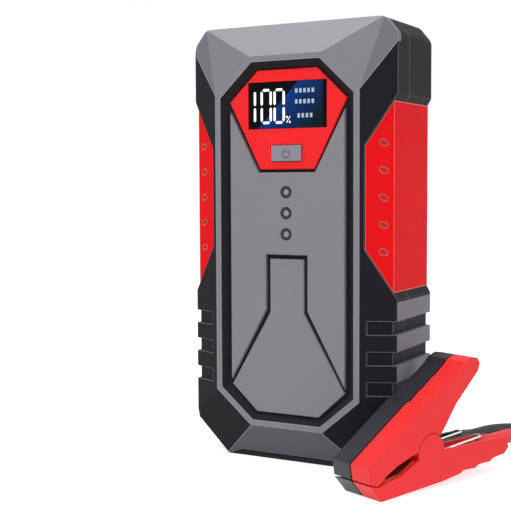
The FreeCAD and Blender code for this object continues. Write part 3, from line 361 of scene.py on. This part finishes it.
edge = add_node(tree, "ShaderNodeMapRange", {"From Min": -EDGE_BLUR * MM, "From Max": EDGE_BLUR * MM},
                {"Value": across.outputs[0]})
border = add_node(tree, "ShaderNodeMapRange",
                  {"From Min": BORDER_X * MM, "From Max": (BORDER_X + EDGE_BLUR) * MM,
                   "To Min": 1.0, "To Max": 0.0}, {"Value": split.outputs["X"]})
field = add_node(tree, "ShaderNodeMath", {"operation": "MULTIPLY"})
tree.links.new(edge.outputs["Result"], field.inputs[0])
tree.links.new(border.outputs["Result"], field.inputs[1])
fall = add_node(tree, "ShaderNodeMapRange",
                {"From Min": 0.0, "From Max": FADE * MM, "To Min": 1.0, "To Max": 0.0},
                {"Value": across.outputs[0]})
blue = add_node(tree, "ShaderNodeMix", {"data_type": "RGBA"})
blue.inputs[6].default_value = linear("101e27")
blue.inputs[7].default_value = linear("0c3a80")
tree.links.new(fall.outputs["Result"], blue.inputs[0])
ink = add_node(tree, "ShaderNodeMix", {"data_type": "RGBA"})
ink.inputs[6].default_value = linear("0c090c")
tree.links.new(field.outputs[0], ink.inputs[0])
tree.links.new(blue.outputs[2], ink.inputs[7])
tree.links.new(ink.outputs[2], shader.inputs["Base Color"])
dress(["display_window"], glass)


def flat_piece(name, faces, y, thickness, material, body):
    """Thin printed shapes on the front: outlines in X and Z, in millimetres, given a small thickness."""
    points, polygons = [], []
    for face in faces:
        first = len(points)
        count = len(face)
        points += [(x * MM, y * MM, z * MM) for x, z in face]
        points += [(x * MM, (y + thickness) * MM, z * MM) for x, z in face]
        polygons.append([first + i for i in range(count)])
        polygons.append([first + count + i for i in reversed(range(count))])
        for i in range(count):
            j = (i + 1) % count
            polygons.append([first + j, first + i, first + count + i, first + count + j])
    mesh = bpy.data.meshes.new(name)
    mesh.from_pydata(points, [], polygons)
    mesh.update()
    mesh.materials.append(material)
    piece = bpy.data.objects.new(name, mesh)
    scene.collection.objects.link(piece)
    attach(piece, body)
    return piece


def segment(x0, z0, x1, z1, width):
    """One lit bar with pointed ends."""
    along = Vector((x1 - x0, z1 - z0))
    along.normalize()
    side = Vector((-along.y, along.x)) * width / 2
    tip = along * width / 2
    a, b = Vector((x0, z0)), Vector((x1, z1))
    return [tuple(p) for p in (a, a + tip + side, b - tip + side, b, b - tip - side, a + tip - side)]


BAR_GAP = 0.45


def digit(x, z, w, h, lit, width):
    """A seven-segment figure; lit names its bars from a to g."""
    mid = z + h / 2
    top = z + h
    right = x + w
    bars = {"a": (x + BAR_GAP, top, right - BAR_GAP, top),
            "b": (right, top - BAR_GAP, right, mid + BAR_GAP),
            "c": (right, mid - BAR_GAP, right, z + BAR_GAP),
            "d": (x + BAR_GAP, z, right - BAR_GAP, z),
            "e": (x, z + BAR_GAP, x, mid - BAR_GAP),
            "f": (x, mid + BAR_GAP, x, top - BAR_GAP),
            "g": (x + BAR_GAP, mid, right - BAR_GAP, mid)}
    return [segment(*bars[k], width) for k in lit]


lamp_white = bpy.data.materials.new("lit_white_segments")
lamp_white.use_nodes = True
shader = lamp_white.node_tree.nodes["Principled BSDF"]
shader.inputs["Base Color"].default_value = linear("e8ecec")
shader.inputs["Roughness"].default_value = 0.5
shader.inputs["Emission Color"].default_value = (1, 1, 1, 1)
shader.inputs["Emission Strength"].default_value = 0.55
window_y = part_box("display_window")[0].y / MM
PRINT_T = 0.05
PRINT_GAP = 0.01            # clear of the window's face
FIGURE_Z, FIGURE_H, FIGURE_W, BAR_W = 155.6, 14.6, 4.6, 1.15
FIGURES_X = ((-16.4, "bc", 0.0), (-12.9, "abcdef", FIGURE_W), (-6.3, "abcdef", FIGURE_W))
figures = []
for x, lit_bars, w in FIGURES_X:
    figures += digit(x, FIGURE_Z, w, FIGURE_H, lit_bars, BAR_W)
PERCENT_BAR = (-0.3, 155.3, 1.5, 158.3, 0.35)
PERCENT_DOTS = ((-0.1, 157.9), (1.3, 155.7))
DOT_W, DOT_H, DOT_SIDES = 0.45, 0.5, 12
figures.append(segment(*PERCENT_BAR))
for x, z in PERCENT_DOTS:
    figures.append([(x + DOT_W * math.cos(a), z + DOT_H * math.sin(a)) for a in
                    (math.tau * i / DOT_SIDES for i in range(DOT_SIDES))])
flat_piece("display_figures", figures, window_y - PRINT_T - PRINT_GAP, PRINT_T, lamp_white, "pack")

# Level marks at the right of the window: rows of like blocks, repeated by one node tree.
soft_white = moulded("lit_white_marks", "b9c6d8", "b0bdd0", 0.5)


def row_of(name, size, start, step, count, material, body, turn=0.0, soften=0.0):
    """A straight row of like bars, in millimetres, made by Geometry Nodes and turned into a plain mesh."""
    tree = bpy.data.node_groups.new(name + "_row", "GeometryNodeTree")
    given_sizes = (("Size", "NodeSocketVector", [v * MM for v in size]),
                   ("Start", "NodeSocketVector", [v * MM for v in start]),
                   ("Step", "NodeSocketVector", [v * MM for v in step]),
                   ("Turn", "NodeSocketVector", [0.0, 0.0, turn]), ("Count", "NodeSocketInt", count))
    sockets = {label: tree.interface.new_socket(label, in_out="INPUT", socket_type=kind)
               for label, kind, value in given_sizes}
    tree.interface.new_socket("Geometry", in_out="OUTPUT", socket_type="NodeSocketGeometry")
    given = add_node(tree, "NodeGroupInput").outputs
    line = add_node(tree, "GeometryNodeMeshLine", {"mode": "OFFSET"}, {
        "Count": given["Count"], "Start Location": given["Start"], "Offset": given["Step"]})
    bar = add_node(tree, "GeometryNodeMeshCube", links={"Size": given["Size"]})
    spread = add_node(tree, "GeometryNodeInstanceOnPoints", links={
        "Points": line.outputs["Mesh"], "Instance": bar.outputs["Mesh"], "Rotation": given["Turn"]})
    solid = add_node(tree, "GeometryNodeRealizeInstances", links={"Geometry": spread.outputs["Instances"]})
    painted = add_node(tree, "GeometryNodeSetMaterial", {"Material": material},
                       {"Geometry": solid.outputs["Geometry"]})
    add_node(tree, "NodeGroupOutput", links={"Geometry": painted.outputs["Geometry"]})
    piece = bpy.data.objects.new(name, bpy.data.meshes.new(name))
    scene.collection.objects.link(piece)
    making = piece.modifiers.new("row", "NODES")
    making.node_group = tree
    for label, kind, value in given_sizes:
        making[sockets[label].identifier] = value
    if soften:
        edge = piece.modifiers.new("soft_edges", "BEVEL")
        edge.width = soften * MM
        edge.segments = 2
    made = bpy.data.meshes.new_from_object(piece.evaluated_get(bpy.context.evaluated_depsgraph_get()))
    piece.modifiers.clear()
    piece.data = made
    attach(piece, body)
    return piece


LEVEL_ROWS = ((4.6, 169.4, 5), (4.6, 164.6, 5), (5.8, 158.4, 4))     # first mark's X and Z, and how many
LEVEL_W, LEVEL_H, LEVEL_STEP = 1.2, 1.9, 2.05
for row, (x, z, count) in enumerate(LEVEL_ROWS):
    row_of("level_marks_" + str(row + 1), (LEVEL_W, PRINT_T, LEVEL_H),
           (x, window_y - PRINT_T / 2 - PRINT_GAP, z), (LEVEL_STEP, 0, 0), count, soft_white, "pack")

# Power mark pad-printed on the key in dark grey: an open ring and a short bar.
key_low, key_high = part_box("power_button")
key_z = (key_low.z + key_high.z) / 2 / MM
MARK_R, MARK_W, MARK_OPEN = 1.75, 0.42, math.radians(36)
RING_DROP, MARK_BAR = 0.2, 2.4
MARK_PROUD, MARK_T = 0.03, 0.02
STEPS = 24
ring = []
for i in range(STEPS):
    a, b = (math.pi / 2 + MARK_OPEN + (math.tau - 2 * MARK_OPEN) * k / STEPS for k in (i, i + 1))
    ring.append([(r * math.cos(t), key_z - RING_DROP + r * math.sin(t)) for r, t in
                 ((MARK_R - MARK_W / 2, a), (MARK_R + MARK_W / 2, a), (MARK_R + MARK_W / 2, b),
                  (MARK_R - MARK_W / 2, b))])
ring.append(segment(0, key_z, 0, key_z + MARK_BAR, MARK_W))
flat_piece("power_mark", ring, key_low.y / MM - MARK_PROUD, MARK_T,
           moulded("pad_print", "3a393f", "33323a", 0.6), "button")

# ------------------------------------------------------------ clamps
# Two spring clamps, one red and one black. Each has two glass-filled nylon levers, moulded with a satin
# face and hinged on a steel pin.
clamp_red = moulded("red_nylon", "fb3236", "f0282c", 0.45, gloss=0.3)
clamp_black = moulded("black_nylon_clamp", "2c2b31", "232228", 0.42)
dress(["red_lower_lever", "red_upper_lever"], clamp_red)
dress(["black_lower_lever", "black_upper_lever"], clamp_black)


def tube(name, path, radius, material, body, kind="POLY"):
    """A round wire or jacket along a path, in millimetres, closed at both ends."""
    curve = bpy.data.curves.new(name, "CURVE")
    curve.dimensions = "3D"
    curve.bevel_depth = radius * MM
    curve.bevel_resolution = 8
    curve.use_fill_caps = True
    curve.resolution_u = 24
    line = curve.splines.new(kind)
    line.points.add(len(path) - 1)
    for point, place in zip(line.points, path):
        point.co = (*(v * MM for v in place), 1.0)
    if kind == "NURBS":
        line.order_u = 3
        line.use_endpoint_u = True
    curve.materials.append(material)
    piece = bpy.data.objects.new(name, curve)
    scene.collection.objects.link(piece)
    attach(piece, body)
    return piece


# Each clamp's torsion spring is nickel-plated wire wound on the pin. Its upper leg pushes the upper lever
# and turns with it; its lower leg lies in the lower lever and ends in a hoop over the lead.
WIRE_R, COIL_R, LEG_W = 0.6, 3.3, 1.675
UPPER_FROM, UPPER_TO = (-2.6, 2.0), (14.0, 25.2)      # along and up from the pin
LOWER_FROM, LOWER_TO = (2.2, -2.4), (34.0, -1.5)
FULL_TURNS = 3                                        # added to the lower leg's angle: 2.5 turns are wound
LAP = math.radians(40)                                # how far the turning leg follows the coil round
HOOP_R, HOOP_HALF, HOOP_UP = 4.0, math.radians(48), -5.2
HOOP_LEAD_IN = 1.5                                    # length over which the leg rises into the hoop
LAP_STEPS, COIL_STEPS, HOOP_STEPS = 8, 90, 16
CLAMP_TURN = Matrix.Rotation(math.radians(66), 3, "Z") @ Matrix.Rotation(math.radians(-4), 3, "Y")


def coil_arc(start, end, side_start, side_end, steps):
    """Points round the pin, from one angle to another."""
    for i in range(steps + 1):
        k = i / steps
        a = start + (end - start) * k
        yield (COIL_R * math.cos(a), side_start + (side_end - side_start) * k, COIL_R * math.sin(a))


leg_angle = math.atan2(UPPER_FROM[1], UPPER_FROM[0])
rest_angle = math.atan2(LOWER_FROM[1], LOWER_FROM[0]) + math.tau * FULL_TURNS
upper_leg = [(UPPER_TO[0], LEG_W, UPPER_TO[1])]
upper_leg += coil_arc(leg_angle, leg_angle + LAP, LEG_W, LEG_W, LAP_STEPS)
coil = list(coil_arc(leg_angle, rest_angle, LEG_W, -LEG_W, COIL_STEPS))
coil.append((LOWER_TO[0] - HOOP_LEAD_IN, -LEG_W, LOWER_TO[1]))
hoop_from = -math.asin(LEG_W / HOOP_R)
for i in range(HOOP_STEPS + 1):
    a = hoop_from + (HOOP_HALF - hoop_from) * i / HOOP_STEPS
    coil.append((LOWER_TO[0], HOOP_R * math.sin(a), HOOP_UP + HOOP_R * math.cos(a)))
for colour in ("red", "black"):
    hinge = next(j for j in frame["joints"] if j["name"] == colour + "_clamp_hinge")
    pin = Vector(hinge["pos_m"]) / MM
    for part, path, body in (("coil", coil, "pack"), ("leg", upper_leg, colour + "_handle")):
        placed = [pin + CLAMP_TURN @ Vector(p) for p in path]
        made = tube(colour + "_spring_" + part, placed, WIRE_R, spring_wire, body)
        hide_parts(colour + "_spring")

# ------------------------------------------------------------ leads
# Two silicone-jacketed 10 AWG leads, 6.2 mm across, crimped inside the lower levers and ending in one
# plug. They are short and stiff, and lie in one open bend.
RED_LEAD = [(74.3, -8.7, 11.9), (81.7, 7.9, 13.5), (92.4, 32.1, 14.3), (118.0, 47.4, 9.6),
            (146.5, 44.8, 4.6), (168.0, 26.0, 3.8), (175.0, -3.0, 5.8), (163.5, -29.0, 5.8)]
BLACK_LEAD = [(64.0, -4.3, 11.9), (71.7, 12.9, 13.5), (83.0, 38.5, 14.3), (116.9, 56.2, 9.6),
              (150.8, 53.2, 4.6), (176.5, 30.9, 3.8), (185.2, -4.0, 5.8), (172.3, -32.9, 5.8)]
LEAD_MM = 6.2

# Finger ribs moulded across the plug's upper face.
PLUG_HEADING = math.radians(204.0)
ahead = Vector((math.sin(PLUG_HEADING), math.cos(PLUG_HEADING), 0))
plug_middle = (Vector(RED_LEAD[-1]) + Vector(BLACK_LEAD[-1])) / 2
PLUG_TOP = 11.6
RIB_FIRST, RIB_STEP, RIB_COUNT = 14.0, 2.6, 5
RIB_SIZE = (1.1, 14.0, 0.7)
first = plug_middle + ahead * RIB_FIRST
ribs = row_of("plug_ribs", RIB_SIZE, (first.x, first.y, PLUG_TOP), tuple(ahead * RIB_STEP), RIB_COUNT,
              rubber, "pack", turn=math.pi / 2 - PLUG_HEADING, soften=0.25)

for name, route, code, dark, length in (("red_lead", RED_LEAD, "f53c44", "e6323a", 0.183),
                                        ("black_lead", BLACK_LEAD, "2b2b2d", "222224", 0.212)):
    jacket = moulded(name + "_silicone", code, dark, 0.45, grain=0.5)
    lead = tube(name, route, LEAD_MM / 2, jacket, "pack", kind="NURBS")
    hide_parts(name.split("_")[0] + "_cable")
